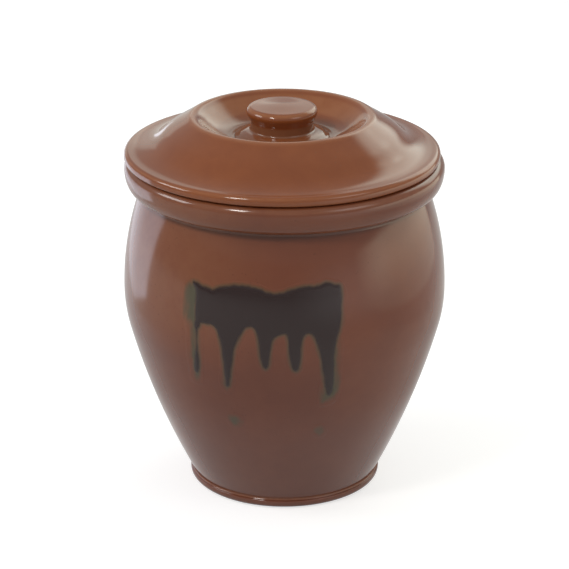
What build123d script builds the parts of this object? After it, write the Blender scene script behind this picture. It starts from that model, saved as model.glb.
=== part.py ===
"""A round-bellied stoneware crock with a rolled rim, a loose lid and a poured dark glaze.

Millimetres. The origin is the middle of the underside of the foot, +Z is up,
and the dark glaze pour faces -Y.
"""

import os
from math import cos, radians, sin, tan

from build123d import *

# Jar, outside
seat_height = 273.5
rim_radius = 128.0
rim_shoulder = 7.0
rim_depth = 16.0
rim_ledge_out = 5.5
rim_ledge_up = 1.5
rim_overhang = 13.0
neck_fillet = 2.0
belly_swell = 2.0
foot_radius = 78.0
foot_height = 7.0
foot_rounding = 5.0
foot_step = 2.4

# Jar, inside and underside
wall = 9.0
floor_thickness = 11.0
floor_corner = 20.0
mouth_rounding = 3.0
foot_ring_width = 14.0
foot_recess_depth = 3.0
foot_recess_rounding = 2.0

# Way up the body to its widest circle
belly_share = 0.658
# Where the long flank runs into the belly: way up the body, and growth from the foot to the belly
flank_share = (0.533, 0.926)

# Lid
lid_inset = 2.0
lip_thickness = 8.0
lip_under_rounding = 2.5
lip_top_rounding = 4.0
brim_rise = 4.0
crest_height = 34.5
crest_rounding = 7.5
crest_lean = 35.0
dish_height = 17.5
lid_thickness = 9.0

# The lid's circles as shares of its radius: brim, crest and the flat floor of the dish
brim_share = 0.833
crest_share = 0.5635
dish_share = 0.3175
# Outer slope: way in from the brim to the crest, and way up from the brim to the crest
outer_slope_shares = ((0.41, 0.49),)
# Dish: way in from the crest to the floor, and way down from the crest to the floor
dish_slope_shares = ((0.30, 0.42), (0.64, 0.80))
# Underside: way out from the centre's flat to the locating ring, and way up from the flat to the crest
under_slope_shares = (
    (0.20, 0.08), (0.33, 0.27), (0.49, 0.78), (0.61, 1.00), (0.74, 0.82), (0.87, 0.44), (1.00, 0.06),
)
# The centre's flat under the lid, as a share of the dish's floor
under_flat_share = 0.9

# Locating ring under the lid, which drops into the mouth
ring_clearance = 2.5
ring_depth = 12.0
ring_thickness = 8.0
ring_rounding = 2.0
# The lid rests off centre by this share of its clearance, towards -X
lid_rest_share = 0.76

# Knob
knob_height = 25.5
knob_crown = 1.0
knob_radius = 28.2
knob_edge = 3.0
knob_waist_radius = 24.9
knob_waist_height = 11.5
collar_inset = 3.0
collar_height = 5.5
collar_fillet = 1.5
# Collar: way in from its edge to the waist, and way up
collar_shares = ((0.06, 0.42), (0.30, 0.82))
# Underside of the head: way out from the waist to the widest circle, and way up
head_share = (0.45, 0.40)

# Dark glaze
glaze_thickness = 0.5
glaze_gap = 0.1
pour_width = 115.0
pour_drop = 96.0
thin_run_width = 2.8
thin_run_bead = 4.2

# The pour's left end as a share of the belly, and its top as a share of the body's height
pour_left_share = -0.541
pour_top_share = 0.845
# Top edge of the pour, from left to right: way across and way down
pour_top_shares = (
    (0.000, 0.050), (0.055, 0.055), (0.109, 0.062), (0.129, 0.092), (0.183, 0.055), (0.250, 0.028),
    (0.323, 0.020), (0.403, 0.019), (0.482, 0.058), (0.535, 0.064), (0.588, 0.038), (0.647, 0.026),
    (0.759, 0.010), (0.872, 0.000), (0.972, 0.035), (0.999, 0.167), (0.986, 0.271),
)
# Wide runs from right to left: across, down and width at the root and lower down, the tip, and the next notch
pour_run_shares = (
    ((0.890, 0.460, 0.140), (0.909, 0.850, 0.066), (0.911, 1.000), (0.773, 0.372)),
    ((0.681, 0.455, 0.078), (0.684, 0.640, 0.058), (0.681, 0.726), (0.594, 0.383)),
    ((0.485, 0.440, 0.086), (0.481, 0.620, 0.064), (0.480, 0.700), (0.382, 0.327)),
    ((0.240, 0.480, 0.106), (0.231, 0.780, 0.046), (0.230, 0.900), (0.086, 0.350)),
)
# Left edge of the band, upwards from the root of the thin run
pour_left_shares = ((0.022, 0.330), (0.027, 0.190))
# The thin run's root and bead: across and down
thin_run_shares = ((0.032, 0.280), (0.020, 0.815))
# How much of a side of the pour's outline each rounded corner takes
corner_share = 0.45
# Drops below the runs: across and down
drop_shares = ((0.270, 1.246), (0.846, 1.375))
drop_radii = (2.6, 1.7)

# Heights and radii that follow
rim_height = seat_height - rim_shoulder
ledge_height = rim_height - rim_depth
neck_height = ledge_height - rim_ledge_up
neck_radius = rim_radius - rim_overhang
belly_radius = rim_radius + belly_swell
body_base_radius = foot_radius - foot_step
rim_lip_radius = neck_radius + rim_ledge_out
rim_flat_radius = rim_radius - rim_shoulder
floor_height = foot_recess_depth + floor_thickness
foot_flat_radius = foot_radius - foot_rounding
foot_recess_radius = foot_flat_radius - foot_ring_width
mouth_radius = neck_radius - wall
lid_radius = rim_radius - lid_inset
brim_radius = brim_share * lid_radius
crest_radius = crest_share * lid_radius
dish_radius = dish_share * lid_radius
collar_radius = dish_radius - collar_inset
ring_radius = mouth_radius - ring_clearance
ring_inner_radius = ring_radius - ring_thickness
lid_shift = lid_rest_share * ring_clearance


def between(low, high, share):
    """The value that lies this share of the way from low to high."""
    return low + share * (high - low)


def rounded(section, corner, radius):
    """The section with its corner at this place rounded."""
    return fillet(section.vertices().sort_by_distance(corner)[0], radius)


def turned(section):
    """The section, drawn in radius and height, turned about the upright axis."""
    return revolve(Plane.XZ * section, Axis.Z)


def belly_curve(inset):
    """The belly's three tangent arcs: flank, belly and shoulder, drawn in by the inset."""
    up, growth = flank_share
    flank_radius = between(body_base_radius, belly_radius, growth)
    flank_top = (flank_radius - inset, between(foot_height, neck_height, up))
    widest = (belly_radius - inset, between(foot_height, neck_height, belly_share))
    base = (body_base_radius - inset, foot_height)
    neck = (neck_radius - inset, neck_height)
    belly = TangentArc(widest, flank_top, tangent=(0, -1))
    flank = TangentArc(flank_top, base, tangent=belly % 1)
    shoulder = TangentArc(widest, neck, tangent=(0, 1))
    return [flank, belly, shoulder]


def jar_outside():
    """Half section of the jar as if it were solid, with its recessed foot."""
    foot_corner = (foot_recess_radius, foot_recess_depth)
    edges = [
        Line((0, foot_recess_depth), foot_corner),
        Line(foot_corner, (foot_recess_radius, 0)),
        Line((foot_recess_radius, 0), (foot_flat_radius, 0)),
        CenterArc((foot_flat_radius, foot_rounding), foot_rounding, -90, 90),
        Line((foot_radius, foot_rounding), (foot_radius, foot_height)),
        Line((foot_radius, foot_height), (body_base_radius, foot_height)),
        *belly_curve(0),
        Line((neck_radius, neck_height), (rim_lip_radius, ledge_height)),
        EllipticalCenterArc(
            (rim_lip_radius, rim_height), rim_radius - rim_lip_radius, rim_depth, -90, arc_size=90
        ),
        CenterArc((rim_flat_radius, rim_height), rim_shoulder, 0, 90),
        Line((rim_flat_radius, seat_height), (0, seat_height)),
        Line((0, seat_height), (0, foot_recess_depth)),
    ]
    section = make_face(edges)
    section = rounded(section, foot_corner, foot_recess_rounding)
    return rounded(section, (neck_radius, neck_height), neck_fillet)


def jar_inside():
    """Half section of the space in the jar, from its floor up to its mouth."""
    base = (body_base_radius - wall, foot_height)
    edges = [
        Line((0, foot_height), base),
        *belly_curve(wall),
        Line((mouth_radius, neck_height), (mouth_radius, seat_height)),
        Line((mouth_radius, seat_height), (0, seat_height)),
        Line((0, seat_height), (0, foot_height)),
    ]
    below_floor = Pos(0, foot_height) * Rectangle(
        belly_radius, floor_height - foot_height, align=(Align.MIN, Align.MIN)
    )
    space = make_face(edges) - below_floor
    corner = space.vertices().group_by(Axis.Y)[0].sort_by(Axis.X)[-1]
    return fillet(corner, floor_corner)


def jar_body():
    """The thrown jar in one piece of clay: wall, rolled rim, seat and foot."""
    section = jar_outside() - jar_inside()
    section = rounded(section, (mouth_radius, seat_height), mouth_rounding)
    return turned(section)


def lean(angle):
    """Direction inwards and upwards at this angle above level, in degrees."""
    return (-cos(radians(angle)), sin(radians(angle)))


def lid_crest():
    """Arc over the crest ring, from its outer slope to its dish."""
    centre = (crest_radius, crest_height - crest_rounding)
    return CenterArc(centre, crest_rounding, 90 - crest_lean, 2 * crest_lean)


def lid_top(crest):
    """Upper edges of the lid's half section, from its lip to its axis."""
    lip_radius = lid_radius - lip_top_rounding
    brim_height = lip_thickness + brim_rise
    outer = [(lip_radius, lip_thickness), (brim_radius, brim_height)]
    for across, up in outer_slope_shares:
        radius = between(brim_radius, crest_radius, across)
        outer.append((radius, between(brim_height, crest_height, up)))
    start = crest @ 0
    outer.append((start.X, start.Y))
    end = crest @ 1
    inner = [(end.X, end.Y)]
    for across, down in dish_slope_shares:
        radius = between(end.X, dish_radius, across)
        inner.append((radius, between(end.Y, dish_height, down)))
    inner.append((dish_radius, dish_height))
    return [
        CenterArc((lip_radius, lip_thickness - lip_top_rounding), lip_top_rounding, 0, 90),
        Spline(*outer, tangents=[lean(0), lean(crest_lean)]),
        crest,
        Spline(*inner, tangents=[lean(-crest_lean), lean(0)]),
        Line((dish_radius, dish_height), (0, dish_height)),
    ]


def lid_underside():
    """Lower edges of the lid's half section, from its axis to its lip."""
    flat_radius = under_flat_share * dish_radius
    flat_height = dish_height - lid_thickness
    crown_height = crest_height - lid_thickness
    under = [(flat_radius, flat_height)]
    for across, up in under_slope_shares:
        radius = between(flat_radius, ring_inner_radius, across)
        under.append((radius, between(flat_height, crown_height, up)))
    lip_radius = lid_radius - lip_under_rounding
    return [
        Line((0, flat_height), under[0]),
        Spline(*under),
        Line(under[-1], (ring_inner_radius, -ring_depth)),
        Line((ring_inner_radius, -ring_depth), (ring_radius, -ring_depth)),
        Line((ring_radius, -ring_depth), (ring_radius, 0)),
        Line((ring_radius, 0), (lip_radius, 0)),
        CenterArc((lip_radius, lip_under_rounding), lip_under_rounding, -90, 90),
        Line((lid_radius, lip_under_rounding), (lid_radius, lip_thickness - lip_top_rounding)),
    ]


def lid_plate():
    """The lid's disc, with lip, brim, crest ring and dish, and the ring that locates it in the mouth."""
    axis_edge = Line((0, dish_height), (0, dish_height - lid_thickness))
    section = make_face([*lid_underside(), *lid_top(lid_crest()), axis_edge])
    section = rounded(section, (ring_radius, -ring_depth), ring_rounding)
    section = rounded(section, (ring_inner_radius, -ring_depth), ring_rounding)
    return Pos(-lid_shift, 0, seat_height) * turned(section)


def lid_knob():
    """The turned knob, whose flat underside is luted on to the dish's floor."""
    top_radius = knob_radius - knob_edge
    edge_height = knob_height - knob_crown - knob_edge
    waist = (knob_waist_radius, knob_waist_height)
    collar = [(collar_radius, 0)]
    for inwards, up in collar_shares:
        collar.append((between(collar_radius, knob_waist_radius, inwards), up * collar_height))
    collar.append((knob_waist_radius, collar_height))
    out, up = head_share
    head = (between(knob_waist_radius, knob_radius, out), between(knob_waist_height, edge_height, up))
    edges = [
        Line((0, 0), (collar_radius, 0)),
        Spline(*collar),
        Line((knob_waist_radius, collar_height), waist),
        Spline(waist, head, (knob_radius, edge_height), tangents=[(0, 1), (0, 1)]),
        CenterArc((top_radius, edge_height), knob_edge, 0, 90),
        Spline((top_radius, edge_height + knob_edge), (0, knob_height), tangents=[(-1, 0), (-1, 0)]),
        Line((0, knob_height), (0, 0)),
    ]
    section = rounded(make_face(edges), (knob_waist_radius, collar_height), collar_fillet)
    return Pos(-lid_shift, 0, seat_height + dish_height) * turned(section)


def glaze_skin():
    """A skin of glaze all round the jar's belly."""
    stand = glaze_gap + glaze_thickness
    edges = [
        *belly_curve(-glaze_gap),
        *belly_curve(-stand),
        Line((body_base_radius + glaze_gap, foot_height), (body_base_radius + stand, foot_height)),
        Line((neck_radius + glaze_gap, neck_height), (neck_radius + stand, neck_height)),
    ]
    return turned(make_face(edges))


def pour_point(across, down):
    """A place on the front of the pour, in width and height."""
    left = pour_left_share * belly_radius
    top = between(foot_height, neck_height, pour_top_share)
    return (left + across * pour_width, top - down * pour_drop)


def run_points(root, low, tip):
    """One run of the pour, down its right side, round its tip and up its left side."""
    right = [(across + width / 2, down) for across, down, width in (root, low)]
    left = [(across - width / 2, down) for across, down, width in (low, root)]
    return [*right, tip, *left]


def corner_radii(points):
    """Radii that round each corner of a closed outline over most of its shorter side."""
    radii = []
    for before, corner, after in zip(points[-1:] + points, points, points[1:] + points[:1]):
        sides = (corner - before, after - corner)
        half_turn = radians(sides[0].get_angle(sides[1])) / 2
        radii.append(corner_share * min(side.length for side in sides) / tan(half_turn))
    return radii


def thin_run():
    """The thin run at the pour's left, ending in a bead."""
    root = Vector(*pour_point(*thin_run_shares[0]))
    bead = Vector(*pour_point(*thin_run_shares[1]))
    stem = Line(root, bead)
    trail = make_hull(
        [
            *(Pos(root) * Circle(thin_run_width / 2)).edges(),
            *(Pos(stem @ 1) * Circle(thin_run_width / 2)).edges(),
        ]
    )
    return trail + Pos(bead) * Ellipse(thin_run_bead / 2, thin_run_bead)


def pour_outline():
    """Front outline of the pour: a ragged band, its wide runs and the thin one."""
    places = list(pour_top_shares)
    for root, low, tip, notch in pour_run_shares:
        places.extend(run_points(root, low, tip))
        places.append(notch)
    places.extend(pour_left_shares)
    points = [Vector(*pour_point(across, down)) for across, down in places]
    edge = FilletPolyline(*points, radius=corner_radii(points), close=True)
    return make_face(edge) + thin_run()


def on_belly(outline):
    """The glaze skin inside an outline seen from the front."""
    front = extrude(Plane.XZ * outline, 2 * belly_radius, dir=(0, -1, 0))
    return glaze_skin() & front


def dark_glaze_pour():
    """The dark glaze poured over the brown one: a band with five runs."""
    return on_belly(pour_outline())


def dark_glaze_drops():
    """Two drops of the dark glaze below the runs."""
    spots = Sketch() + [
        Pos(*pour_point(across, down)) * Circle(radius)
        for (across, down), radius in zip(drop_shares, drop_radii)
    ]
    return on_belly(spots)


def main():
    """Write each piece to its own file."""
    os.makedirs("parts", exist_ok=True)
    pieces = (jar_body, lid_plate, lid_knob, dark_glaze_pour, dark_glaze_drops)
    for piece in pieces:
        export_step(piece(), f"parts/{piece.__name__}.step")


main()
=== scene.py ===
"""Looks of a lidded stoneware crock, glazed brown and amber, with a dark glaze poured over its front.

The model is in metres. +Z is up, the pour faces -Y, and the origin is the
middle of the underside of the foot. Sizes in this file are in millimetres
and become metres where a piece is made.
"""

from math import atan2, cos, pi, radians, sin, tan

import bpy
import numpy as np
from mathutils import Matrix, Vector, noise
from mathutils.geometry import interpolate_bezier


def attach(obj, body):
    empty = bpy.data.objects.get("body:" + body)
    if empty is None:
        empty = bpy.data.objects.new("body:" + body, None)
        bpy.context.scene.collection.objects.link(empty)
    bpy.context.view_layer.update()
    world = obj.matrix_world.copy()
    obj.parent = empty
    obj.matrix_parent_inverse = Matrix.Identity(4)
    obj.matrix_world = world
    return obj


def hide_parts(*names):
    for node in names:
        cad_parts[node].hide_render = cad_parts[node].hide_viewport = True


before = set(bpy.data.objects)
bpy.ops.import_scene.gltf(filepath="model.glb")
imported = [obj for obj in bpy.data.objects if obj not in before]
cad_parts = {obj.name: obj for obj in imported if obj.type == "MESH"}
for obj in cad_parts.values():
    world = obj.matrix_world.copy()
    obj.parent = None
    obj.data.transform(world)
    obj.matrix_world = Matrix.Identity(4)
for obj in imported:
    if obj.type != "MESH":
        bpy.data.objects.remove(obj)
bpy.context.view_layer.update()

mm = 0.001

# Jar
seat_height = 273.5
rim_radius = 128.0
rim_shoulder = 7.0
rim_depth = 16.0
rim_ledge_out = 5.5
rim_ledge_up = 1.5
neck_radius = 115.0
neck_fillet = 2.5
belly_radius = 130.0
foot_radius = 78.0
foot_height = 7.0
foot_rounding = 5.0
foot_step = 2.4
foot_edge = 1.2
belly_height = 166.2
flank_top = (126.0, 136.0)
wall = 9.0
floor_height = 14.0
floor_corner = 22.0
mouth_rounding = 3.0
foot_ring_width = 14.0
recess_depth = 3.0
recess_rounding = 2.0

# Lid
lid_radius = 126.0
lid_shift = -1.9
lip_thickness = 8.0
lip_under_rounding = 2.5
lip_top_rounding = 4.0
brim = (105.0, 12.0)
slope = (91.1, 23.0)
crest_radius = 71.0
crest_height = 34.5
crest_rounding = 7.5
crest_lean = 35.0
dish_slope = ((58.7, 26.6), (49.6, 20.6))
dish_radius = 40.0
dish_height = 17.5
ring_radius = 103.5
ring_inner_radius = 95.5
ring_depth = 12.0
ring_fillet = 0.8
ring_rounding = 2.0
under_slope = (
    (36.0, 8.5), (47.9, 9.9), (55.6, 13.1), (65.2, 21.8),
    (72.3, 25.5), (80.0, 22.4), (87.8, 16.0), (95.5, 9.5),
)

# Knob
knob_height = 25.5
knob_crown = 1.0
knob_radius = 28.2
knob_edge = 4.6
knob_waist = (24.9, 11.5)
knob_flare = (26.4, 15.3)
collar = ((37.8, 0.0), (35.9, 1.3), (32.2, 3.6), (24.9, 5.3))
collar_fillet = 1.8

# Steps round a full turn and along the belly, and the gap that closes a seam
body_steps = 224
knob_steps = 144
widest_steps = 10
flank_steps = 40
shoulder_steps = 26
seam_gap = 0.02

# How far the clay wanders inwards from true, and over how wide a wave
body_sway = (0.5, 120.0)
lid_sway = (0.35, 110.0)

# Skin of dark glaze: its grain, how far it is feathered out, and how it lies on the belly
skin_grain = 0.62
halo_width = 5.0
halo_slope = 2.5
halo_share = 0.42
core_spill = 1.0
core_slope = 4.0
core_share = 0.58
skin_sink = 0.2
skin_rise = 0.75
skin_back = 0.5

# How far its edges wander, over waves that are wider and longer, then narrower and shorter
core_wander = 0.3
wash_wander = 0.5
broad_wave = (5, 9)
fine_wave = (2, 4)
fine_share = 0.35


def between(low, high, share):
    """The value that lies this share of the way from low to high."""
    return low + share * (high - low)


def bend(start, heading, end, count=16):
    """Places along the arc that leaves start in a heading and reaches end, and the heading it ends in."""
    start, end = Vector(start), Vector(end)
    heading = Vector(heading).normalized()
    side = Vector((-heading.y, heading.x))
    step = end - start
    half = atan2(step.dot(side), step.dot(heading))
    radius = step.length / (2 * sin(half))
    places = []
    for number in range(count + 1):
        turn = 2 * half * number / count
        places.append(start + radius * (sin(turn) * heading + (1 - cos(turn)) * side))
    return places, cos(2 * half) * heading + sin(2 * half) * side


def oval(centre, radii, start, end, count=10):
    """Places along part of an oval, from one angle to another in degrees."""
    turns = [radians(between(start, end, number / count)) for number in range(count + 1)]
    return [Vector((centre[0] + radii[0] * cos(turn), centre[1] + radii[1] * sin(turn))) for turn in turns]


def soften(before, corner, after, radius, count=6):
    """Places round a corner between two straight sides."""
    corner = Vector(corner)
    back = (Vector(before) - corner).normalized()
    on = (Vector(after) - corner).normalized()
    reach = radius / tan(back.angle(on) / 2)
    return bend(corner + reach * back, -back, corner + reach * on, count)[0]


def through(places, first, last, count=8):
    """A smooth curve through places, which leaves along first and arrives along last."""
    places = [Vector(place) for place in places]
    headings = [Vector(first).normalized()]
    headings += [(after - before).normalized() for before, after in zip(places, places[2:])]
    headings.append(Vector(last).normalized())
    curve = [places[0]]
    for here, there, out, into in zip(places, places[1:], headings, headings[1:]):
        reach = (there - here).length / 3
        curve += interpolate_bezier(here, here + reach * out, there - reach * into, there, count + 1)[1:]
    return [Vector(place[:2]) for place in curve]


def straight(start, end, count):
    """Places along a straight line, its ends left out."""
    start, end = Vector(start), Vector(end)
    return [start.lerp(end, number / count) for number in range(1, count)]


def belly(inset):
    """The belly's curve from the foot up to the neck, drawn in by the inset."""
    base = (foot_radius - foot_step - inset, foot_height)
    top = (flank_top[0] - inset, flank_top[1])
    widest = (belly_radius - inset, belly_height)
    neck = (neck_radius - inset, seat_height - rim_shoulder - rim_depth - rim_ledge_up)
    middle, heading = bend(widest, (0, -1), top, widest_steps)
    flank, _ = bend(top, heading, base, flank_steps)
    shoulder, _ = bend(widest, (0, 1), neck, shoulder_steps)
    return flank[::-1] + middle[::-1][1:] + shoulder[1:]


def inner_wall():
    """The inner wall's curve, from the neck down to the rounding of the floor."""
    lowest = floor_height + 1.2 * floor_corner
    return [place for place in belly(wall)[::-1] if place.y > lowest]


def inner_corner():
    """Where the inner wall, carried on straight, would meet the floor."""
    high, low = inner_wall()[-2:]
    lean = (high.x - low.x) / (high.y - low.y)
    return (low.x - lean * (low.y - floor_height), floor_height)


def jar_profile():
    """Half section of the jar, from the middle of its underside, up its outside and down its inside."""
    rim_height = seat_height - rim_shoulder
    ledge_height = rim_height - rim_depth
    neck_height = ledge_height - rim_ledge_up
    flat_radius = foot_radius - foot_rounding
    recess_radius = flat_radius - foot_ring_width
    base_radius = foot_radius - foot_step
    lip_radius = neck_radius + rim_ledge_out
    mouth_radius = neck_radius - wall
    mouth_edge = mouth_radius + mouth_rounding
    outside, inside = belly(0), inner_wall()
    lip = (lip_radius, ledge_height)
    recess_corner = (recess_radius, recess_depth)
    profile = [Vector((0, recess_depth))]
    profile += straight((0, recess_depth), recess_corner, 6)
    profile += soften((0, recess_depth), recess_corner, (recess_radius, 0), recess_rounding)
    profile += soften(recess_corner, (recess_radius, 0), (flat_radius, 0), foot_edge)
    profile += oval((flat_radius, foot_rounding), (foot_rounding, foot_rounding), -90, 0)
    profile += soften((foot_radius, 0), (foot_radius, foot_height), (base_radius, foot_height), foot_edge)
    profile += soften((foot_radius, foot_height), (base_radius, foot_height), outside[1], foot_edge)
    profile += outside[2:-1]
    profile += soften(outside[-2], (neck_radius, neck_height), lip, neck_fillet)
    profile += oval((lip_radius, rim_height), (rim_radius - lip_radius, rim_depth), -90, 0, 14)
    profile += oval((rim_radius - rim_shoulder, rim_height), (rim_shoulder, rim_shoulder), 0, 90, 12)[1:]
    profile += straight((rim_radius - rim_shoulder, seat_height), (mouth_edge, seat_height), 5)
    profile += oval((mouth_edge, seat_height - mouth_rounding), (mouth_rounding, mouth_rounding), 90, 180, 8)
    profile += straight((mouth_radius, seat_height - mouth_rounding), (mouth_radius, neck_height), 5)
    profile += inside
    profile += soften(inside[-1], inner_corner(), (0, floor_height), floor_corner, 12)
    profile += straight((inside[-1].x / 2, floor_height), (0, floor_height), 5)
    profile.append(Vector((0, floor_height)))
    return profile


def lid_profile():
    """Half section of the lid, from the middle of its dish, over its crest and back along its underside."""
    crest_centre = (crest_radius, crest_height - crest_rounding)
    crest = oval(crest_centre, (crest_rounding, crest_rounding), 90 + crest_lean, 90 - crest_lean, 12)
    rise = (cos(radians(crest_lean)), sin(radians(crest_lean)))
    fall = (rise[0], -rise[1])
    lip_radius = lid_radius - lip_top_rounding
    under_lip = lid_radius - lip_under_rounding
    profile = [Vector((0, dish_height))]
    profile += straight((0, dish_height), (dish_radius, dish_height), 6)
    profile += through([(dish_radius, dish_height), *dish_slope[::-1], crest[0]], (1, 0), rise)
    profile += crest[1:-1]
    profile += through([crest[-1], slope, brim, (lip_radius, lip_thickness)], fall, (1, 0), 10)
    top_radii, under_radii = (lip_top_rounding, lip_top_rounding), (lip_under_rounding, lip_under_rounding)
    profile += oval((lip_radius, lip_thickness - lip_top_rounding), top_radii, 90, 0, 8)[1:]
    profile += oval((under_lip, lip_under_rounding), under_radii, 0, -90, 6)
    profile += straight((under_lip, 0), (ring_radius, 0), 5)
    outer, inner = (ring_radius, -ring_depth), (ring_inner_radius, -ring_depth)
    profile += soften((under_lip, 0), (ring_radius, 0), outer, ring_fillet)
    profile += soften((ring_radius, 0), outer, inner, ring_rounding)
    profile += soften(outer, inner, (ring_inner_radius, 0), ring_rounding)
    profile += through(under_slope[::-1], (-0.7, 0.7), (-1, 0))
    profile += straight(under_slope[0], (0, under_slope[0][1]), 5)
    profile.append(Vector((0, under_slope[0][1])))
    return [place + Vector((0, seat_height)) for place in profile]


def knob_profile():
    """Half section of the knob, from the middle of its underside round to the middle of its top."""
    edge_height = knob_height - knob_crown - knob_edge
    top = (knob_radius - knob_edge, edge_height + knob_edge)
    rise = through(collar, (0, 1), (-1, 0), 8)
    profile = [Vector((0, 0))]
    profile += straight((0, 0), collar[0], 4)
    profile += rise[:-3]
    profile += soften(rise[-4], collar[-1], knob_waist, collar_fillet)
    profile += through([knob_waist, knob_flare, (knob_radius, edge_height)], (0, 1), (0, 1))
    profile += oval((top[0], edge_height), (knob_edge, knob_edge), 0, 90, 8)[1:]
    profile += through([top, (0, knob_height)], (-1, 0.02), (-1, 0), 10)[1:]
    return [place + Vector((0, seat_height + dish_height)) for place in profile]


def start_piece():
    """Deselects everything, so that the next primitive is worked on alone."""
    if bpy.context.object and bpy.context.object.mode != "OBJECT":
        bpy.ops.object.mode_set(mode="OBJECT")
    bpy.ops.object.select_all(action="DESELECT")


def apply_modifier(piece, kind, **settings):
    """Adds a modifier with these settings and applies it."""
    modifier = piece.modifiers.new(kind.title(), kind)
    for setting, value in settings.items():
        setattr(modifier, setting, value)
    bpy.ops.object.modifier_apply(modifier=modifier.name)


def thrown(name, profile, steps, axis_x=0.0):
    """A turned piece: its half section is drawn out from a point and spun about the upright axis."""
    start_piece()
    bpy.ops.mesh.primitive_plane_add(size=mm, location=(0, 0, 0))
    piece = bpy.context.object
    piece.name = name
    bpy.ops.object.mode_set(mode="EDIT")
    bpy.ops.mesh.select_mode(type="VERT")
    bpy.ops.mesh.merge(type="CENTER")
    bpy.ops.transform.translate(value=((profile[0].x + axis_x) * mm, 0, profile[0].y * mm))
    for here, there in zip(profile, profile[1:]):
        step = there - here
        move = {"value": (step.x * mm, 0, step.y * mm)}
        bpy.ops.mesh.extrude_region_move(TRANSFORM_OT_translate=move)
    bpy.ops.mesh.select_all(action="SELECT")
    bpy.ops.mesh.remove_doubles(threshold=seam_gap * mm)
    bpy.ops.mesh.spin(steps=steps, angle=2 * pi, center=(axis_x * mm, 0, 0), axis=(0, 0, 1))
    bpy.ops.mesh.select_all(action="SELECT")
    bpy.ops.mesh.remove_doubles(threshold=seam_gap * mm)
    bpy.ops.mesh.normals_make_consistent(inside=False)
    bpy.ops.object.mode_set(mode="OBJECT")
    bpy.ops.object.shade_smooth()
    return piece


def sway(piece, reach, spread):
    """Lets the clay wander inwards from true by up to this reach, over waves of this width."""
    clouds = bpy.data.textures.new(piece.name + "_sway", "CLOUDS")
    clouds.noise_scale = spread * mm
    clouds.noise_depth = 1
    apply_modifier(piece, "DISPLACE", texture=clouds, strength=reach * mm, mid_level=1.0)


def closed_curve(places, count=6):
    """A smooth closed curve through places."""
    places = [Vector(place) for place in places]
    before, after, beyond = places[-1:] + places[:-1], places[1:] + places[:1], places[2:] + places[:2]
    curve = []
    for last, here, there, then in zip(before, places, after, beyond):
        reach = (there - here).length / 3
        out, into = (there - last).normalized(), (then - here).normalized()
        curve += interpolate_bezier(here, here + reach * out, there - reach * into, there, count + 1)[:-1]
    return np.array([place[:2] for place in curve])


def depth_inside(places, curve):
    """How far each place lies inside a closed curve, less than nothing outside it."""
    x, z = places[:, None, 0], places[:, None, 1]
    along = np.roll(curve, -1, axis=0) - curve
    offset = places[:, None, :] - curve
    share = np.clip((offset * along).sum(2) / (along ** 2).sum(1), 0, 1)
    gap = np.linalg.norm(offset - along * share[..., None], axis=2).min(1)
    next_z = np.roll(curve[:, 1], -1)
    reach_x = curve[:, 0] + along[:, 0] * (z - curve[:, 1]) / np.where(along[:, 1] == 0, 1e-9, along[:, 1])
    crossings = (((curve[:, 1] > z) != (next_z > z)) & (x < reach_x)).sum(1)
    return np.where(crossings % 2 == 1, gap, -gap)


# The pour's outline as seen from the front, from its top left, in width and height
pour_edge = (
    (-69.9, 206.5), (-65.8, 206.2), (-61.5, 205.3), (-57.8, 204.4), (-55.0, 203.3), (-50.6, 205.7),
    (-42.9, 208.4), (-34.6, 209.5), (-25.8, 209.2), (-17.9, 208.0), (-13.0, 205.6), (-6.9, 205.1),
    (-1.1, 205.7), (4.9, 208.1), (12.5, 209.9), (20.8, 210.1), (26.8, 210.5), (30.5, 211.8),
    (34.2, 211.9), (37.5, 210.4), (41.8, 208.9), (43.1, 205.3), (43.5, 192.8), (43.2, 181.8),
    (41.1, 170.7), (38.8, 159.0), (37.8, 147.2), (38.2, 134.2), (37.3, 122.7), (34.6, 115.7),
    (32.0, 120.4), (30.3, 133.4), (29.0, 146.5), (26.4, 158.3), (23.6, 168.4), (20.2, 173.1),
    (16.3, 172.7), (13.5, 166.2), (12.3, 156.5), (11.6, 147.8), (9.6, 141.3), (6.5, 142.5),
    (4.4, 149.4), (3.3, 160.2), (2.5, 169.3), (0.7, 173.4), (-4.2, 172.4), (-8.5, 168.1),
    (-10.6, 160.0), (-11.9, 149.6), (-14.1, 143.7), (-16.5, 146.1), (-18.6, 156.2), (-19.8, 168.7),
    (-22.5, 175.9), (-26.8, 178.1), (-30.8, 175.8), (-34.8, 168.2), (-38.6, 156.8), (-40.6, 143.2),
    (-42.2, 128.7), (-44.0, 123.1), (-45.8, 127.1), (-46.3, 138.5), (-47.3, 151.1), (-48.5, 160.4),
    (-50.9, 169.6), (-54.5, 175.4), (-59.5, 176.1), (-65.2, 175.5), (-68.3, 175.8), (-68.5, 188.2),
    (-68.1, 200.8),
)
# The thin run that leaves its left side
thin_run = (
    (-68.3, 177.1), (-65.1, 177.0), (-65.2, 173.0), (-67.0, 169.5), (-67.2, 160.0), (-66.9, 150.5),
    (-66.2, 141.5), (-66.8, 133.5), (-68.3, 131.0), (-69.6, 133.0), (-69.7, 142.2), (-68.6, 151.5),
    (-68.2, 160.4), (-68.3, 168.5), (-69.3, 172.5),
)
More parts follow.
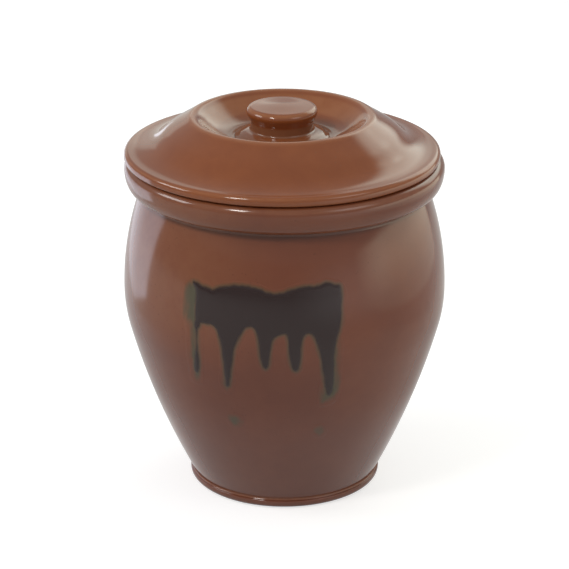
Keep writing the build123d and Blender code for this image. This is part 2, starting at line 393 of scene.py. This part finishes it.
# Where thin glaze has run on past the dark: down the left side, below the second run, round the last, up the right
left_wash = (
    (-75.0, 200.7), (-72.1, 205.1), (-66.8, 207.0), (-65.3, 199.9), (-65.7, 185.7), (-65.8, 174.4),
    (-66.1, 152.4), (-65.5, 133.9), (-67.0, 123.1), (-69.9, 122.9), (-71.3, 132.0), (-72.6, 143.2),
    (-73.3, 153.9), (-72.8, 164.3), (-74.0, 172.3), (-75.8, 177.5), (-76.3, 189.4),
)
second_wash = ((-47.2, 134.2), (-40.4, 134.8), (-41.2, 125.2), (-43.9, 119.3), (-46.8, 122.2))
last_wash = (
    (38.0, 172.8), (40.9, 170.6), (42.2, 157.1), (41.2, 141.2), (40.6, 126.0), (39.0, 114.5),
    (35.9, 110.4), (31.3, 109.2), (28.2, 109.0), (28.0, 113.6), (29.2, 122.2), (30.2, 133.5),
    (29.2, 146.7), (31.5, 158.6),
)
right_wash = ((40.3, 208.0), (43.8, 206.0), (45.1, 197.2), (44.4, 186.3), (42.9, 176.9), (41.1, 172.4), (40.1, 190.1))
# The drops below the runs, middle and radius, and how much taller than wide they are
drops = (((-38.5, 90.5), 3.6), ((27.6, 81.4), 3.2))
drop_stretch = 1.2
# How deep in thin glaze a place can count as lying, and how far off the dark glaze counts where there is none
pour_fullest = 10.0
drop_fullest = 1.2
no_core = 10.0
# The fields that the skins are cut from: lower left and upper right corners, in width and height
pour_field = ((-84, 102), (54, 220))
drops_field = ((-51, 68), (38, 105))


def skin_grid(name, low, high, jar):
    """A fine grid in front of the jar, pressed back on to its belly."""
    start_piece()
    width, height = high[0] - low[0], high[1] - low[1]
    bpy.ops.mesh.primitive_grid_add(
        x_subdivisions=round(width / skin_grain), y_subdivisions=round(height / skin_grain), size=1,
        location=((low[0] + width / 2) * mm, -1.1 * belly_radius * mm, (low[1] + height / 2) * mm),
        rotation=(pi / 2, 0, 0),
    )
    grid = bpy.context.object
    grid.name = name
    grid.scale = (width * mm, height * mm, 1)
    bpy.ops.object.transform_apply(location=True, rotation=True, scale=True)
    apply_modifier(
        grid, "SHRINKWRAP", target=jar, wrap_method="PROJECT", use_project_y=True,
        use_positive_direction=True, use_negative_direction=False,
    )
    return grid


def places_of(piece):
    """The mesh's vertices as an array, in millimetres."""
    places = np.zeros(len(piece.data.vertices) * 3)
    piece.data.vertices.foreach_get("co", places)
    return places.reshape(-1, 3) / mm


def greatest_depth(front, curves):
    """How far each place lies inside the nearest of several closed curves."""
    return np.max([depth_inside(front, curve) for curve in curves], axis=0)


def waves(front, wave, layer):
    """Soft noise for each place, in waves of this width and length."""
    return np.array([noise.noise(Vector((x / wave[0], layer, z / wave[1]))) for x, z in front])


def wander(front, reach):
    """A small uneven offset for each place, longer down the run than across it."""
    return reach * (waves(front, broad_wave, 0) + fine_share * waves(front, fine_wave, 5))


def rounded(value):
    """Eases a share, held between nothing and one, in and out."""
    value = np.clip(value, 0, 1)
    return value ** 2 * (3 - 2 * value)


def keep_layer(piece, name, values):
    """Stores a value for each vertex under a name that the material reads."""
    piece.data.attributes.new(name, "FLOAT", "POINT").data.foreach_set("value", values)


def delete_faces(piece, reach, low):
    """Deletes the faces whose vertices all lie below a value."""
    bpy.ops.object.mode_set(mode="EDIT")
    bpy.ops.mesh.select_mode(type="FACE")
    bpy.ops.mesh.select_all(action="DESELECT")
    bpy.ops.object.mode_set(mode="OBJECT")
    for face in piece.data.polygons:
        face.select = bool(max(reach[number] for number in face.vertices) < low)
    bpy.ops.object.mode_set(mode="EDIT")
    bpy.ops.mesh.delete(type="FACE")
    bpy.ops.object.mode_set(mode="OBJECT")


def glaze_skin(name, curves, washes, field, jar, fullest):
    """A skin on the belly, of dark glaze inside curves and thin glaze inside washes, feathered out past both."""
    skin = skin_grid(name, *field, jar)
    front = places_of(skin)[:, [0, 2]]
    wash = np.minimum(greatest_depth(front, washes) + wander(front, wash_wander), fullest)
    depth = greatest_depth(front, curves) + wander(front, core_wander) if curves else wash - no_core
    keep_layer(skin, "glaze_depth", depth)
    keep_layer(skin, "wash_depth", wash)
    reach = np.maximum(depth, wash)
    halo = halo_share * rounded((reach + halo_width) / halo_slope)
    core = core_share * rounded((depth + core_spill) / core_slope)
    group = skin.vertex_groups.new(name="thickness")
    for number, weight in enumerate(halo + core):
        group.add([number], weight, "REPLACE")
    delete_faces(skin, reach, -halo_width)
    apply_modifier(skin, "DISPLACE", strength=-skin_sink * mm, mid_level=0.0)
    apply_modifier(skin, "DISPLACE", strength=skin_rise * mm, mid_level=0.0, vertex_group="thickness")
    apply_modifier(skin, "SOLIDIFY", thickness=skin_back * mm, offset=-1.0, use_even_offset=False)
    bpy.ops.object.shade_smooth()
    return skin


def add_node(tree, kind, values=None, **settings):
    """Adds a shader node, sets its properties, and sets or links its inputs."""
    node = tree.nodes.new(kind)
    for setting, value in settings.items():
        setattr(node, setting, value)
    for socket, value in (values or {}).items():
        if isinstance(value, bpy.types.NodeSocket):
            tree.links.new(value, node.inputs[socket])
        else:
            node.inputs[socket].default_value = value
    return node


def new_group(name, inputs, outputs):
    """A shader node group with named inputs and outputs."""
    group = bpy.data.node_groups.new(name, "ShaderNodeTree")
    for label, kind, value in inputs:
        socket = group.interface.new_socket(label, in_out="INPUT", socket_type=kind)
        if value is not None:
            socket.default_value = value
    for label, kind in outputs:
        group.interface.new_socket(label, in_out="OUTPUT", socket_type=kind)
    return group, group.nodes.new("NodeGroupInput").outputs, group.nodes.new("NodeGroupOutput").inputs


def blend_colour(tree, share, first, second):
    """A colour this share of the way from the first to the second."""
    mix = add_node(tree, "ShaderNodeMix", {0: share}, data_type="RGBA")
    for number, colour in ((6, first), (7, second)):
        if isinstance(colour, bpy.types.NodeSocket):
            tree.links.new(colour, mix.inputs[number])
        else:
            mix.inputs[number].default_value = colour
    return mix.outputs[2]


def scaled(tree, value, from_low, from_high, to_low=0.0, to_high=1.0, smooth=True):
    """A value carried from one range to another and held inside it."""
    ranges = {0: value, 1: from_low, 2: from_high, 3: to_low, 4: to_high}
    kind = "SMOOTHSTEP" if smooth else "LINEAR"
    return add_node(tree, "ShaderNodeMapRange", ranges, interpolation_type=kind).outputs[0]


def share_of(tree, mask, share):
    """A mask that reaches no higher than this share."""
    return scaled(tree, mask, 0.0, 1.0, 0.0, share)


def combined(tree, operation, first, second):
    """Two values put together by arithmetic."""
    return add_node(tree, "ShaderNodeMath", {0: first, 1: second}, operation=operation).outputs[0]


def fired_glaze():
    """Iron glaze: clouded colour, thin on edges, gathered in hollows, with specks and a faint skin; the masks that
    thin and gather it also carry painted light and painted shade.
    """
    group, given, out = new_group(
        "Fired Glaze",
        [
            ("Vector", "NodeSocketVector", None),
            ("Glaze", "NodeSocketColor", None),
            ("Clouded", "NodeSocketColor", None),
            ("Thin", "NodeSocketColor", None),
            ("Gathered", "NodeSocketColor", None),
            ("Thinness and painted light", "NodeSocketFloat", 0.0),
            ("Gathering and painted shade", "NodeSocketFloat", 0.0),
            ("Gloss", "NodeSocketFloat", 0.1),
        ],
        [("Colour", "NodeSocketColor"), ("Roughness", "NodeSocketFloat"), ("Height", "NodeSocketFloat")],
    )
    place = given["Vector"]
    clouds = add_node(group, "ShaderNodeTexNoise", {"Vector": place, "Scale": 13.0, "Detail": 4.0, "Roughness": 0.55})
    mottle = add_node(group, "ShaderNodeTexNoise", {"Vector": place, "Scale": 90.0, "Detail": 3.0, "Roughness": 0.6})
    specks = add_node(group, "ShaderNodeTexVoronoi", {"Vector": place, "Scale": 260.0})
    patches = add_node(group, "ShaderNodeTexNoise", {"Vector": place, "Scale": 30.0, "Detail": 1.0})
    ripples = add_node(group, "ShaderNodeTexNoise", {"Vector": place, "Scale": 38.0, "Detail": 2.0, "Roughness": 0.4})
    pits = add_node(group, "ShaderNodeTexNoise", {"Vector": place, "Scale": 420.0, "Detail": 2.0})
    colour = blend_colour(group, scaled(group, clouds.outputs[0], 0.35, 0.7), given["Glaze"], given["Clouded"])
    fine = scaled(group, mottle.outputs[0], 0.35, 0.7, 0.0, 0.35)
    colour = blend_colour(group, fine, colour, given["Clouded"])
    colour = blend_colour(group, given["Gathering and painted shade"], colour, given["Gathered"])
    ragged = combined(group, "MULTIPLY", given["Thinness and painted light"], scaled(group, mottle.outputs[0], 0.2, 0.65, 0.55, 1.0))
    colour = blend_colour(group, ragged, colour, given["Thin"])
    dots = scaled(group, specks.outputs["Distance"], 0.16, 0.09, 0.0, 0.55)
    dots = combined(group, "MULTIPLY", dots, scaled(group, patches.outputs[0], 0.5, 0.66))
    colour = blend_colour(group, dots, colour, given["Gathered"])
    rough = combined(group, "ADD", given["Gloss"], scaled(group, clouds.outputs[0], 0.3, 0.75, -0.02, 0.05))
    rough = combined(group, "ADD", rough, share_of(group, ragged, 0.06))
    height = combined(group, "ADD", ripples.outputs[0], combined(group, "MULTIPLY", pits.outputs[0], 0.035))
    group.links.new(colour, out["Colour"])
    group.links.new(rough, out["Roughness"])
    group.links.new(height, out["Height"])
    return group


def bare_clay():
    """Unglazed stoneware: buff grit with darker grains."""
    group, given, out = new_group(
        "Bare Clay",
        [("Vector", "NodeSocketVector", None), ("Clay", "NodeSocketColor", None), ("Grain", "NodeSocketColor", None)],
        [("Colour", "NodeSocketColor"), ("Roughness", "NodeSocketFloat"), ("Height", "NodeSocketFloat")],
    )
    place = given["Vector"]
    body = add_node(group, "ShaderNodeTexNoise", {"Vector": place, "Scale": 120.0, "Detail": 5.0, "Roughness": 0.7})
    grit = add_node(group, "ShaderNodeTexNoise", {"Vector": place, "Scale": 900.0, "Detail": 3.0})
    colour = blend_colour(group, scaled(group, body.outputs[0], 0.35, 0.7), given["Clay"], given["Grain"])
    colour = blend_colour(group, scaled(group, grit.outputs[0], 0.6, 0.72, 0.0, 0.6), colour, given["Grain"])
    height = combined(group, "ADD", grit.outputs[0], combined(group, "MULTIPLY", body.outputs[0], 0.6))
    group.links.new(colour, out["Colour"])
    group.links.new(scaled(group, body.outputs[0], 0.3, 0.7, 0.72, 0.9), out["Roughness"])
    group.links.new(height, out["Height"])
    return group


def height_and_radius(tree, place, axis_x=0.0):
    """The height of a place, and how far it is from the upright axis, in millimetres."""
    shifted = add_node(tree, "ShaderNodeVectorMath", {0: place, 1: (-axis_x * mm, 0, 0)}, operation="ADD").outputs[0]
    parts = add_node(tree, "ShaderNodeSeparateXYZ", {0: shifted}).outputs
    flat = add_node(tree, "ShaderNodeCombineXYZ", {0: parts[0], 1: parts[1]}).outputs[0]
    radius = add_node(tree, "ShaderNodeVectorMath", {0: flat}, operation="LENGTH").outputs["Value"]
    return combined(tree, "DIVIDE", parts[2], mm), combined(tree, "DIVIDE", radius, mm)


def band(tree, value, low, high, soft):
    """One between low and high, falling to nothing over a soft edge on either side."""
    rise = scaled(tree, value, low - soft, low + soft)
    fall = scaled(tree, value, high + soft, high - soft)
    return combined(tree, "MULTIPLY", rise, fall)


def zone(tree, radius, height, reach):
    """One inside a range of radii and a range of heights, soft at its edges."""
    return combined(tree, "MULTIPLY", band(tree, radius, *reach[0]), band(tree, height, *reach[1]))


def new_material(name):
    """An empty material, with its Principled shader and the piece's own coordinates."""
    material = bpy.data.materials.new(name)
    material.use_nodes = True
    tree = material.node_tree
    tree.nodes.clear()
    shader = tree.nodes.new("ShaderNodeBsdfPrincipled")
    output = tree.nodes.new("ShaderNodeOutputMaterial")
    tree.links.new(shader.outputs[0], output.inputs["Surface"])
    place = tree.nodes.new("ShaderNodeTexCoord").outputs["Object"]
    return material, tree, shader, place


# Colours of the glazes and the clay
brown = (0.178, 0.050, 0.022, 1)
brown_cloud = (0.146, 0.039, 0.018, 1)
brown_thin_and_painted_light = (0.24, 0.088, 0.038, 1)
brown_deep = (0.070, 0.022, 0.012, 1)
amber = (0.255, 0.073, 0.021, 1)
amber_cloud = (0.215, 0.058, 0.017, 1)
amber_thin = (0.33, 0.125, 0.048, 1)
amber_deep_and_shade = (0.165, 0.085, 0.05, 1)
olive = (0.068, 0.062, 0.032, 1)
black = (0.022, 0.008, 0.007, 1)
clay = (0.36, 0.20, 0.12, 1)
clay_grain = (0.22, 0.12, 0.075, 1)

# The glazes' relief in millimetres, how they bend light, and how rough they are
relief = 0.07
glaze_ior = 1.52
jar_gloss = 0.085
lid_gloss = 0.07

# Heights on the jar between which its glaze lies thin or gathers, and how soft their ends are; the band over the
# crease above the foot is painted light
seat_edge = (268.5, 272.5, 1.5)
rim_face = (254.0, 270.0, 2.0)
ledge_edge = (251.2, 252.4, 0.8)
neck_crease = (245.5, 250.5, 3.0)
# painted light: a band of the thin colour that lightens the shaded crease above the foot
painted_foot_crease_light = (7.0, 9.4, 0.6)
foot_band = (1.8, 6.4, 0.8)

# The same for the lid and its knob, as radii and then heights; the darkening on the knob's waist is painted shade
crest_zone = ((68.0, 74.5, 3.0), (305.0, 312.0, 1.0))
lip_zone = ((122.5, 125.2, 1.0), (277.0, 280.5, 1.0))
knob_rim_zone = ((25.4, 27.6, 0.7), (312.5, 316.0, 0.6))
dish_wall_zone = ((51.0, 66.0, 4.0), (295.0, 306.0, 2.0))
dish_zone = ((30.0, 46.0, 7.0), (285.0, 297.5, 2.0))
# painted shade: the knob's waist under its head is darkened towards the gathered colour
knob_waist_shade_zone = ((24.0, 26.5, 1.0), (295.0, 303.0, 1.5))

# Where the clay is bare, on the jar and on the lid
jar_seat_zone = ((108.0, 118.5, 0.8), (272.9, 280.0, 0.3))
lid_seat_zone = ((105.0, 119.5, 0.8), (270.0, 273.9, 0.3))
sole = (-5.0, 1.1)
ring_end = (255.0, 262.6)

# How deep inside its edge the dark glaze starts to show and shows fully, and the least and the most that shows
core_shows = (-1.3, 1.2)
fringe_shows = (-3.4, 0.2, 0.0, 0.7)
wash_shows = (-2.6, 4.4, 0.0, 0.95)


def place_group(tree, group, values):
    """Places a node group in a material, with its own values."""
    node = tree.nodes.new("ShaderNodeGroup")
    node.node_tree = group
    for socket, value in values.items():
        if isinstance(value, bpy.types.NodeSocket):
            tree.links.new(value, node.inputs[socket])
        else:
            node.inputs[socket].default_value = value
    return node.outputs


def most(tree, first, *others):
    """The largest of several masks."""
    for other in others:
        first = combined(tree, "MAXIMUM", first, other)
    return first


def jar_glaze(tree, place, glaze):
    """The jar's brown glaze: thin on the rim and foot, gathered under the rim, a little darker towards the bottom,
    and lightened with painted light on the left shoulder and over the crease above the foot.
    """
    height, _ = height_and_radius(tree, place)
    across = add_node(tree, "ShaderNodeSeparateXYZ", {0: place}).outputs[0]
    # painted light: the upper belly is lightened towards the thin colour on its left, standing in for the brighter
    # light that falls there
    left, upper = scaled(tree, across, 0.0, -0.08, 0.1, 0.6), scaled(tree, height, 130.0, 185.0)
    shoulder = combined(tree, "MULTIPLY", left, upper)
    crease = share_of(tree, band(tree, height, *neck_crease), 0.75)
    # darker towards the bottom of the belly
    darker_towards_foot = scaled(tree, height, 150.0, 60.0, 0.0, 0.05)
    # the edges take in the band of painted light over the crease above the foot
    edges = most(
        tree, band(tree, height, *seat_edge), band(tree, height, *ledge_edge), band(tree, height, *painted_foot_crease_light),
        share_of(tree, band(tree, height, *foot_band), 0.3), share_of(tree, band(tree, height, *rim_face), 0.35),
    )
    return place_group(tree, glaze, {
        "Vector": place, "Glaze": brown, "Clouded": brown_cloud, "Thin": brown_thin_and_painted_light, "Gathered": brown_deep,
        "Thinness and painted light": most(tree, share_of(tree, edges, 0.6), shoulder),
        "Gathering and painted shade": most(tree, crease, darker_towards_foot),
        "Gloss": jar_gloss,
    })


def wiped(tree, place, height, low, high):
    """Where the clay is left bare between two heights, with an edge that wanders as a wiped one does."""
    waver = add_node(tree, "ShaderNodeTexNoise", {"Vector": place, "Scale": 45.0, "Detail": 3.0}).outputs[0]
    wandering = combined(tree, "ADD", height, scaled(tree, waver, 0.3, 0.7, -0.6, 0.6))
    return band(tree, wandering, low, high, 0.25)


def dress(tree, shader, colour, rough, height):
    """Feeds a finish to the shader."""
    bump = add_node(tree, "ShaderNodeBump", {"Height": height, "Distance": relief * mm, "Strength": 1.0})
    tree.links.new(colour, shader.inputs["Base Color"])
    tree.links.new(rough, shader.inputs["Roughness"])
    tree.links.new(bump.outputs[0], shader.inputs["Normal"])
    shader.inputs["IOR"].default_value = glaze_ior


def dress_with_clay(tree, shader, glaze, clay_group, place, mask):
    """Feeds a glaze to the shader, and bare clay inside a mask."""
    bare = place_group(tree, clay_group, {"Vector": place, "Clay": clay, "Grain": clay_grain})
    colour = blend_colour(tree, mask, glaze[0], bare[0])
    rough = add_node(tree, "ShaderNodeMix", {0: mask, 2: glaze[1], 3: bare[1]}).outputs[0]
    height = add_node(tree, "ShaderNodeMix", {0: mask, 2: glaze[2], 3: bare[2]}).outputs[0]
    dress(tree, shader, colour, rough, height)


def brown_glaze(glaze, clay_group):
    """The jar: brown glaze all over, with bare clay under the foot and on the seat of the lid."""
    material, tree, shader, place = new_material("brown_glaze")
    height, radius = height_and_radius(tree, place)
    bare = most(tree, wiped(tree, place, height, *sole), zone(tree, radius, height, jar_seat_zone))
    dress_with_clay(tree, shader, jar_glaze(tree, place, glaze), clay_group, place, bare)
    return material


def amber_glaze(glaze, clay_group):
    """The lid and its knob: amber glaze, thin on crest, lip, knob's edge and dish wall, gathered in the dish, and
    darkened with painted shade on the knob's waist under its head.
    """
    material, tree, shader, place = new_material("amber_glaze")
    height, radius = height_and_radius(tree, place, lid_shift)
    thin = [zone(tree, radius, height, reach) for reach in (crest_zone, lip_zone, knob_rim_zone, dish_wall_zone)]
    gathered_and_shaded = [zone(tree, radius, height, reach) for reach in (dish_zone, knob_waist_shade_zone)]
    finish = place_group(tree, glaze, {
        "Vector": place, "Glaze": amber, "Clouded": amber_cloud, "Thin": amber_thin, "Gathered": amber_deep_and_shade,
        "Thinness and painted light": share_of(tree, most(tree, *thin), 0.7),
        "Gathering and painted shade": share_of(tree, most(tree, *gathered_and_shaded), 0.5),
        "Gloss": lid_gloss,
    })
    bare = most(tree, zone(tree, radius, height, lid_seat_zone), wiped(tree, place, height, *ring_end))
    dress_with_clay(tree, shader, finish, clay_group, place, bare)
    return material


def dark_glaze(glaze):
    """The poured glaze: black where it is thick, and olive where it thins out over the jar's brown."""
    material, tree, shader, place = new_material("dark_glaze")
    depth = add_node(tree, "ShaderNodeAttribute", attribute_name="glaze_depth").outputs["Fac"]
    wash = add_node(tree, "ShaderNodeAttribute", attribute_name="wash_depth").outputs["Fac"]
    flow = add_node(tree, "ShaderNodeMapping", {"Vector": place, "Scale": (1.0, 1.0, 0.3)}).outputs[0]
    streaks = add_node(tree, "ShaderNodeTexNoise", {"Vector": flow, "Scale": 170.0, "Detail": 3.0}).outputs[0]
    patches = add_node(tree, "ShaderNodeTexNoise", {"Vector": place, "Scale": 42.0, "Detail": 1.0}).outputs[0]
    depth = combined(tree, "ADD", depth, scaled(tree, streaks, 0.3, 0.7, -0.4, 0.4))
    wash = combined(tree, "ADD", wash, scaled(tree, streaks, 0.3, 0.7, -1.2, 1.2))
    wash = combined(tree, "ADD", wash, scaled(tree, patches, 0.3, 0.7, -1.2, 1.2))
    under = jar_glaze(tree, place, glaze)
    thin = most(tree, scaled(tree, depth, *fringe_shows), scaled(tree, wash, *wash_shows))
    colour = blend_colour(tree, thin, under[0], olive)
    colour = blend_colour(tree, scaled(tree, depth, *core_shows), colour, black)
    dress(tree, shader, colour, under[1], under[2])
    return material


# The sweep's sizes and its two greys, and the room's brightness
sweep_radius = 3000.0
sweep_rise = 850.0
sweep_steps = 96
sweep_grey = (0.54, 0.54, 0.54, 1)
sweep_grain = (0.56, 0.56, 0.56, 1)
room_light = 0.48

# The sweep's lift, and how much of it glazes mirror near the crock and far off, which meet between two radii: a
# painted pool of light, brighter near the crock, seen only in reflections
sweep_lift = 0.60
near_to_far = (115.0, 200.0)
near_share = 0.6
far_share = 0.25

# Tints of the soft boxes
warm = (1.0, 0.97, 0.93)
cool = (0.9, 0.97, 1.15)
straw = (1.0, 0.96, 0.75)
back_tint = (0.93, 1.0, 0.88)

# The camera: how far in front it stands, how high, how far it looks down in radians, and its sensor and lens
camera_distance = 1962.8
camera_height = 920.9
camera_tilt = 0.3681
sensor_width = 36.0
lens = 164.07


def sweep_material():
    """A pale sweep, which looks white and still takes the crock's shadow, and whose glow seen in reflections is a
    painted pool of light, brighter near the crock.
    """
    material, tree, shader, place = new_material("pale_sweep")
    grain = add_node(tree, "ShaderNodeTexNoise", {"Vector": place, "Scale": 3.0}).outputs[0]
    tree.links.new(blend_colour(tree, grain, sweep_grey, sweep_grain), shader.inputs["Base Color"])
    shader.inputs["Roughness"].default_value = 0.9
    shader.inputs["Specular IOR Level"].default_value = 0.0
    ray = tree.nodes.new("ShaderNodeLightPath").outputs
    _, radius = height_and_radius(tree, place)
    # painted pool of light: glossy rays see the sweep glow brighter near the crock and dimmer far off
    painted_light_pool = scaled(tree, radius, *near_to_far, near_share, far_share)
    painted_light_pool = combined(tree, "MULTIPLY", ray["Is Glossy Ray"], painted_light_pool)
    seen = most(tree, ray["Is Camera Ray"], painted_light_pool, ray["Is Transmission Ray"])
    lift = tree.nodes.new("ShaderNodeEmission")
    tree.links.new(combined(tree, "MULTIPLY", seen, sweep_lift), lift.inputs["Strength"])
    both = add_node(tree, "ShaderNodeAddShader", {0: shader.outputs[0], 1: lift.outputs[0]})
    output = next(node for node in tree.nodes if node.type == "OUTPUT_MATERIAL")
    tree.links.new(both.outputs[0], output.inputs["Surface"])
    return material


def make_sweep():
    """The sweep that the crock stands on, which rises all round it."""
    profile = [Vector((0, 0)), Vector((sweep_radius / 2, 0))]
    profile += oval((sweep_radius, sweep_rise), (sweep_rise, sweep_rise), -90, 0, 14)
    sweep = thrown("sweep", profile, sweep_steps)
    sweep.data.materials.append(sweep_material())


def soft_box(name, place, size, target, brightness, fade=0.0, colour=(1, 1, 1)):
    """A soft box that faces a target, as bright as a white of this strength, and fades over a share of its width."""
    bpy.ops.object.light_add(type="AREA", location=place)
    lamp = bpy.context.object
    lamp.name = name
    lamp.data.shape = "RECTANGLE"
    lamp.data.size, lamp.data.size_y = size
    lamp.data.energy = brightness * pi * size[0] * size[1]
    lamp.data.color = colour
    lamp.rotation_euler = (Vector(target) - Vector(place)).to_track_quat("-Z", "Y").to_euler()
    lamp.visible_camera = False
    if fade:
        tree, along, up = lamp_face(lamp.data)
        glow(tree, edge_fade(tree, along, fade), edge_fade(tree, up, fade))
    return lamp.data


def lamp_face(lamp):
    """A lamp's shader tree, and how far along and up its face the light leaves it, from nothing to one."""
    lamp.use_nodes = True
    tree = lamp.node_tree
    face = tree.nodes.new("ShaderNodeNewGeometry").outputs["Parametric"]
    parts = add_node(tree, "ShaderNodeSeparateXYZ", {0: face}).outputs
    return tree, parts[0], parts[1]


def edge_fade(tree, part, fade):
    """One over the middle of a lamp's face, falling to nothing over a share of it at either end."""
    edge = combined(tree, "MINIMUM", part, combined(tree, "SUBTRACT", 1.0, part))
    return scaled(tree, edge, 0.0, fade)


def glow(tree, share, *others):
    """Makes a lamp as bright as the product of these shares."""
    for other in others:
        share = combined(tree, "MULTIPLY", share, other)
    emission = next(node for node in tree.nodes if node.type == "EMISSION")
    tree.links.new(share, emission.inputs["Strength"])


def shape_left_box(lamp):
    """The low soft box at the left: crisp and brightest at its front end, with a leaning edge and a slanting foot."""
    tree, along, up = lamp_face(lamp)
    lean = scaled(tree, up, 0.0, 1.0, 0.055, 0.0, smooth=False)
    slant = scaled(tree, along, 0.831, 1.0, 0.0, 0.3, smooth=False)
    front = scaled(tree, along, 0.86, 0.98, 0.8, 1.35)
    ends = edge_fade(tree, combined(tree, "ADD", along, lean), 0.008)
    foot = edge_fade(tree, combined(tree, "SUBTRACT", up, slant), 0.03)
    glow(tree, ends, foot, front)


def shape_right_box(lamp):
    """The low soft box at the right: soft, brighter towards its top and dimmer towards its front end."""
    tree, along, up = lamp_face(lamp)
    front, top = scaled(tree, along, 0.0, 0.32), scaled(tree, up, 0.1, 0.7, 0.45, 2.0)
    glow(tree, edge_fade(tree, along, 0.08), edge_fade(tree, up, 0.12), front, top)


def make_light():
    """A plain pale room with soft boxes: three in front, three at the sides and four behind."""
    world = bpy.data.worlds.new("room")
    bpy.context.scene.world = world
    world.use_nodes = True
    tree = world.node_tree
    tree.nodes.clear()
    room = add_node(tree, "ShaderNodeBackground", {"Color": (1.0, 1.0, 1.0, 1), "Strength": room_light})
    output = tree.nodes.new("ShaderNodeOutputWorld")
    tree.links.new(room.outputs[0], output.inputs["Surface"])
    soft_box("front_left", (-1.0, -1.28, 1.83), (0.55, 0.6), (0, 0, 0.2), 25.0, 0.3, warm)
    soft_box("front_right", (1.35, -1.05, 1.5), (1.6, 1.2), (0, 0, 0.2), 1.8, 0.4)
    soft_box("front_low", (0.30, -0.34, 0.19), (0.75, 0.3), (0, 0, 0.19), 0.45, 0.5)
    soft_box("left_high", (-1.75, -0.06, 1.2), (1.0, 0.6), (0, 0, 0.2), 6.3, 0.1)
    left = soft_box("left_low", (-0.44, 0.81, 0.135), (1.6, 0.27), (0, 0.81, 0.135), 1.2, 0, cool)
    right = soft_box("right_low", (0.5, -0.03, 0.19), (0.94, 0.28), (0, -0.03, 0.19), 0.72, 0, straw)
    shape_left_box(left)
    shape_right_box(right)
    soft_box("back_low", (-0.50, 1.7, 0.42), (1.0, 0.84), (-0.4, 0, 0.3), 0.42, 0.1, back_tint)
    soft_box("back_high", (0.0, 1.7, 0.96), (0.9, 0.60), (0, 0, 0.3), 0.45, 0.15, back_tint)
    soft_box("back_right", (0.775, 1.03, 0.97), (1.5, 1.1), (0, 0, 0.29), 1.95, 0.25, back_tint)
    soft_box("back_right_core", (0.80, 0.83, 0.95), (0.5, 0.4), (0, 0, 0.29), 0.9, 0.5, back_tint)


def make_camera():
    """The camera, at the photograph's place, tilt and lens."""
    place = (0, -camera_distance * mm, camera_height * mm)
    bpy.ops.object.camera_add(location=place, rotation=(pi / 2 - camera_tilt, 0, 0))
    camera = bpy.context.object
    camera.data.sensor_width = sensor_width
    camera.data.lens = lens
    bpy.context.scene.camera = camera


def settle(piece, body, slot, material, *nodes):
    """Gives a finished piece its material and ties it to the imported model."""
    piece.data.materials.clear()
    piece.data.materials.append(material)
    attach(piece, body)
    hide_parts(*nodes)


def main():
    """Makes the crock's pieces, its light, its floor and its camera."""
    bpy.context.scene.view_settings.view_transform = "Standard"
    glaze, clay_group = fired_glaze(), bare_clay()
    brown_finish, amber_finish = brown_glaze(glaze, clay_group), amber_glaze(glaze, clay_group)
    dark_finish = dark_glaze(glaze)

    jar = thrown("crock_jar", jar_profile(), body_steps)
    sway(jar, *body_sway)
    lid = thrown("crock_lid", lid_profile(), body_steps, lid_shift)
    sway(lid, *lid_sway)
    knob = thrown("crock_knob", knob_profile(), knob_steps, lid_shift)
    edges = [closed_curve(curve) for curve in (pour_edge, thin_run)]
    washes = [closed_curve(curve) for curve in (left_wash, second_wash, last_wash, right_wash)]
    pour = glaze_skin("poured_glaze", edges, washes, pour_field, jar, pour_fullest)
    spots = [np.array(oval(middle, (radius, drop_stretch * radius), 0, 360, 24)[:-1]) for middle, radius in drops]
    dots = glaze_skin("glaze_drops", [], spots, drops_field, jar, drop_fullest)

    settle(jar, "jar", "brown_glaze", brown_finish, "jar_body")
    settle(pour, "jar", "dark_glaze", dark_finish, "dark_glaze_pour")
    settle(dots, "jar", "dark_glaze", dark_finish, "dark_glaze_drops")
    settle(lid, "lid", "amber_glaze", amber_finish, "lid_plate")
    settle(knob, "lid", "amber_glaze", amber_finish, "lid_knob")
    make_sweep()
    make_light()
    make_camera()


main()
